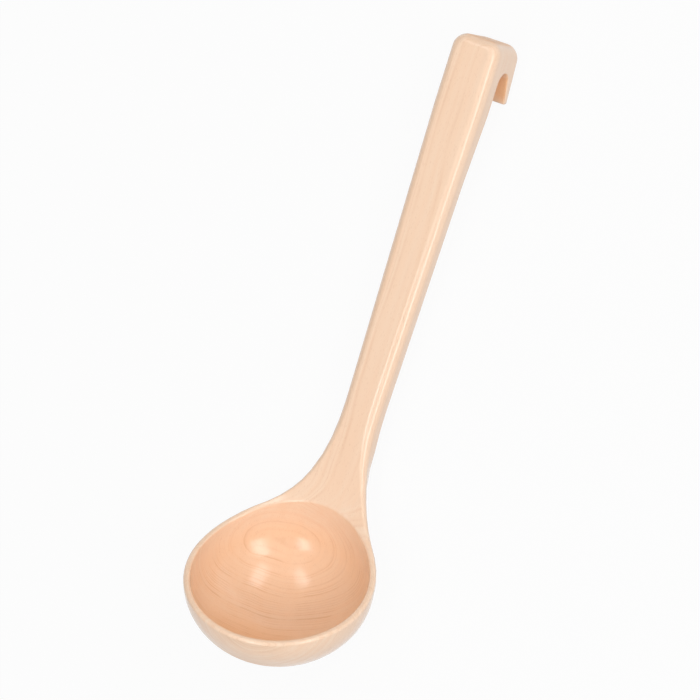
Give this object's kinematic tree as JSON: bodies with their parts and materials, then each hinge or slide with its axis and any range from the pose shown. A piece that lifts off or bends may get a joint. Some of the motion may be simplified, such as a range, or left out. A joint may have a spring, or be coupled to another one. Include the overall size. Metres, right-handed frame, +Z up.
{
  "type": "soup ladle",
  "caption": "Wooden soup ladle cut as a whole: round deep bowl, curved neck, straight tapering handle at a steep angle and a turned-down hook at its top.",
  "frame": {"origin": "under the middle of the ladle's length and width, on the surface that it lies on", "axes": "+Z up, as it rests on the back of its bowl and the tip of its hook; +Y from the bowl to the hook; X across, the ladle being alike on both sides of X = 0"},
  "size_m": [0.088, 0.3014, 0.0798],
  "materials": {
    "beech": "satin clear coat over pale beech"
  },
  "bodies": {
    "root": {"ladle": "beech"}
  },
  "joints": []
}
